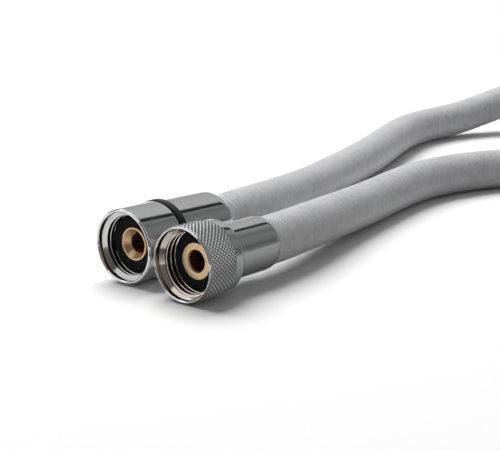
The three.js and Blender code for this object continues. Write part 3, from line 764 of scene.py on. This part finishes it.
class SHOWERHOSE_OT_sleeves(bpy.types.Operator):
    """Draws the ferrule of end A, the swivel sleeve of end B and its black slip ring"""

    bl_idname = "showerhose.sleeves"
    bl_label = "Ferrule And Sleeve"

    def execute(self, context):
        ferrule = turned("ferrule_a_dressed", [
            (16.3, 6.5), (16.3, 8.2), (16.75, 8.65), *quarter(33.4, 8.65, 35.7, 7.95), (35.6, 7.85), (34.5, 8.05),
            (16.9, 8.05), (16.9, 6.5),
        ], axis_of("knurled_nut"), 144, 0.12)
        finish(ferrule, "hose", "chrome", chrome(), "ferrule_a")
        sleeve = turned("swivel_sleeve_dressed", [
            (18.2, 6.5), (18.2, 10.75), (18.65, 11.2), *quarter(37.6, 10.9, 41.6, 8.1), (41.5, 7.95), (39.9, 8.05),
            (39.7, 9.5), (39.0, 9.9), (19.4, 9.9), (19.4, 6.5),
        ], axis_of("smooth_nut"), 160, 0.12)
        finish(sleeve, "hose", "chrome", chrome(), "swivel_sleeve")
        slip = turned("slip_ring_dressed", [(15.7, 6.5), (15.7, 12.1), (17.9, 12.1), (17.9, 6.5)],
                      axis_of("smooth_nut"), 144, 0.35)
        finish(slip, "spindle_b", "black_plastic", plain_finish("Black plastic"), "slip_ring")
        return {"FINISHED"}


class SHOWERHOSE_OT_inner_parts(bpy.types.Operator):
    """Finishes the parts inside the swivel: body, clip, O-rings and crimp ring"""

    bl_idname = "showerhose.inner_parts"
    bl_label = "Inner Parts"

    def execute(self, context):
        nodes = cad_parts
        paint(nodes["swivel_body"], brass("smooth_nut"))
        for name in ("circlip", "crimp_ring"):
            paint(nodes[name], plain_finish("Spring steel"))
        for name in ("o_ring_front", "o_ring_rear"):
            paint(nodes[name], plain_finish("Black rubber"))
        return {"FINISHED"}


def card(name, corners, greys):
    """A glowing card of the studio that shows only in reflections, as a painted reflection in the metal. It neither
    lights nor shades the object.

    corners are its near and its far row of points, and each place in the rows has one grey, which goes evenly from
    one place to the next.
    """
    near, far = corners
    mesh = bpy.data.meshes.new(name)
    count = len(near)
    mesh.from_pydata([*near, *far], [], [(k, k + 1, k + 1 + count, k + count) for k in range(count - 1)])
    tones = np.repeat(np.tile(np.array(greys, np.float32), 2)[:, None], 4, axis=1)
    tones[:, 3] = 1
    mesh.attributes.new("tone", "FLOAT_COLOR", "POINT").data.foreach_set("color", tones.ravel())
    obj = bpy.data.objects.new(name, mesh)
    material = bpy.data.materials.new(name)
    tree = empty_tree(material)
    glow = tree.nodes.new("ShaderNodeEmission")
    tree.links.new(attribute(tree, "tone")["Color"], glow.inputs["Color"])
    tree.links.new(glow.outputs[0], tree.nodes.new("ShaderNodeOutputMaterial").inputs["Surface"])
    mesh.materials.append(material)
    obj.visible_camera = obj.visible_diffuse = obj.visible_shadow = False
    obj.visible_transmission = obj.visible_volume_scatter = False
    bpy.context.scene.collection.objects.link(obj)


def bent_card(name, steps):
    """A card bent over the object, whose greys paint bands of reflection in the chrome: steps are (angle from
    straight up towards +X in degrees, grey).

    (x, z) = (height * tan(angle), height), or (reach, reach / tan(angle)) past the turn.
    """
    bend = []
    for degrees, _ in steps:
        slope = math.tan(math.radians(abs(degrees)))
        if abs(degrees) < CARD_TURN:
            x, z = CARD_HEIGHT * slope, CARD_HEIGHT
        else:
            x, z = CARD_HEIGHT * CARD_REACH, CARD_HEIGHT * CARD_REACH / slope
        bend.append((math.copysign(x, degrees), z))
    corners = [[(x, y, z) for x, z in bend] for y in (CARD_NEAR, CARD_FAR)]
    card(name, corners, [grey for _, grey in steps])


def seen_directly(tree):
    """1 for camera, glossy and transmission rays, and 0 for the light that surfaces exchange."""
    light = tree.nodes.new("ShaderNodeLightPath").outputs
    both = value_of(tree, "MAXIMUM", light["Is Camera Ray"], light["Is Glossy Ray"])
    return value_of(tree, "MAXIMUM", both, light["Is Transmission Ray"])


class SHOWERHOSE_OT_stage(bpy.types.Operator):
    """Sets the pale table, the white surround, one large lamp overhead and the glowing cards that paint the chrome's
    reflections
    """

    bl_idname = "showerhose.stage"
    bl_label = "Stage"

    def execute(self, context):
        scene, settings = context.scene, context.scene.shower_hose
        angle = np.linspace(0, 2 * np.pi, FLOOR_SIDES, endpoint=False)
        rim = np.stack([FLOOR_RADIUS * np.cos(angle), FLOOR_RADIUS * np.sin(angle), 0 * angle - FLOOR_DROP], -1)
        mesh = bpy.data.meshes.new("floor")
        mesh.from_pydata(rim.tolist(), [], [list(range(FLOOR_SIDES))])
        floor = bpy.data.objects.new("floor", mesh)
        scene.collection.objects.link(floor)
        material, tree, shader, place = new_material("Pale table", 0.0, 0.9)
        shader.inputs["Specular IOR Level"].default_value = 0.0
        # Away from the object the table turns white, to the eye and in the chrome, but gives no more light.
        away = tree.nodes.new("ShaderNodeMapping")
        away.inputs["Location"].default_value = (-OBJECT_MIDDLE[0], -OBJECT_MIDDLE[1], 0)
        tree.links.new(place, away.inputs["Vector"])
        distance = tree.nodes.new("ShaderNodeVectorMath")
        distance.operation = "LENGTH"
        tree.links.new(away.outputs[0], distance.inputs[0])
        far = tree.nodes.new("ShaderNodeMapRange")
        far.interpolation_type = "SMOOTHSTEP"
        far.inputs["From Min"].default_value, far.inputs["From Max"].default_value = WHITE_FROM, WHITE_TO
        tree.links.new(distance.outputs["Value"], far.inputs["Value"])
        seen = seen_directly(tree)
        white = value_of(tree, "MULTIPLY", far.outputs[0], seen)
        pale = tuple(settings.floor_colour)
        lit = blend_colours(tree, seen, tuple(TABLE_BOUNCE * part for part in pale), pale)
        tree.links.new(blend_colours(tree, white, lit, (0.0, 0.0, 0.0)), shader.inputs["Base Color"])
        tree.links.new(blend_colours(tree, white, (0.0, 0.0, 0.0), (1.0, 1.0, 1.0)), shader.inputs["Emission Color"])
        shader.inputs["Emission Strength"].default_value = 1.0
        mesh.materials.append(material)

        world = bpy.data.worlds.new("Studio")
        scene.world = world
        tree = empty_tree(world)
        background = tree.nodes.new("ShaderNodeBackground")
        background.inputs["Color"].default_value = (1, 1, 1, 1)
        tree.links.new(spread(tree, seen_directly(tree), ROOM_LIGHT, 1.0), background.inputs["Strength"])
        tree.links.new(background.outputs[0], tree.nodes.new("ShaderNodeOutputWorld").inputs["Surface"])

        lamp = bpy.data.lights.new("Key", "AREA")
        lamp.shape, lamp.size, lamp.size_y = "RECTANGLE", LAMP_SIDE, LAMP_SIDE
        lamp.energy = settings.key_power
        key = bpy.data.objects.new("Key", lamp)
        key.location = LAMP_PLACE
        key.rotation_euler = (math.radians(LAMP_TURN[0]), math.radians(LAMP_TURN[1]), 0)
        scene.collection.objects.link(key)

        # Painted reflections: the dark strip paints a dark streak along the chrome, and the panels paint its grey
        # bands.
        card("dark_strip", [[(x, y, 0.113) for x in (-0.006, -0.003, 0.017)] for y in (0.05, 0.5)], (0.3, 0.02, 0.02))
        bent_card("left_panel", [(-1.5, 0.6), (-30, 0.57), (-60, 0.47), (-80, 0.47)])
        bent_card("right_panel", [(-1.5, 0.33), (12, 0.31), (24, 0.185), (40, 0.235), (58, 0.21), (70, 0.13),
                                  (84, 0.2), (89.8, 0.26)])
        # The low panel paints the table's shadow into the reflections: darkest next to the object, paler further out.
        edges = (0.0165, 0.022, 0.029, 0.042, 0.1, 1.8)
        card("low_panel", [[(x, y, 0.0003) for x in edges] for y in (CARD_NEAR, CARD_FAR)],
             (0.05, 0.12, 0.24, 0.37, 0.42, 0.45))
        card("rear_panel", [[(x, 2.5, z) for x in (-2.2, 0, 2.2)] for z in (0.002, 1.5)], (0.4, 0.25, 0.2))
        card("front_panel", [[(0.15, -0.5, 0.0), (-0.14, -0.5, 0.3)], [(1.0, -0.5, 0.0), (0.35, -0.5, 1.1)]],
             (0.16, 0.12))
        scene.view_settings.view_transform = "Standard"
        return {"FINISHED"}


class SHOWERHOSE_PT_panel(bpy.types.Panel):
    """Lists the steps that build the shower hose"""

    bl_idname = "SHOWERHOSE_PT_panel"
    bl_label = "Shower Hose"
    bl_space_type = "VIEW_3D"
    bl_region_type = "UI"
    bl_category = "Shower Hose"

    def draw(self, context):
        for name in ShowerHoseSettings.__annotations__:
            self.layout.prop(context.scene.shower_hose, name)
        for operator in OPERATORS:
            self.layout.operator(operator.bl_idname)


OPERATORS = (
    SHOWERHOSE_OT_camera,
    SHOWERHOSE_OT_hose,
    SHOWERHOSE_OT_knurled_nut,
    SHOWERHOSE_OT_smooth_nut,
    SHOWERHOSE_OT_brass,
    SHOWERHOSE_OT_washers,
    SHOWERHOSE_OT_sleeves,
    SHOWERHOSE_OT_inner_parts,
    SHOWERHOSE_OT_stage,
)


def register():
    """Makes the settings, the steps and the panel known."""
    for item in (ShowerHoseSettings, *OPERATORS, SHOWERHOSE_PT_panel):
        bpy.utils.register_class(item)
    bpy.types.Scene.shower_hose = bpy.props.PointerProperty(type=ShowerHoseSettings)


def unregister():
    """Takes them away again."""
    del bpy.types.Scene.shower_hose
    for item in (SHOWERHOSE_PT_panel, *reversed(OPERATORS), ShowerHoseSettings):
        bpy.utils.unregister_class(item)


def main():
    """Runs every step."""
    register()
    bpy.ops.showerhose.camera()
    bpy.ops.showerhose.hose()
    bpy.ops.showerhose.knurled_nut()
    bpy.ops.showerhose.smooth_nut()
    bpy.ops.showerhose.brass()
    bpy.ops.showerhose.washers()
    bpy.ops.showerhose.sleeves()
    bpy.ops.showerhose.inner_parts()
    bpy.ops.showerhose.stage()


if __name__ == "__main__":
    main()
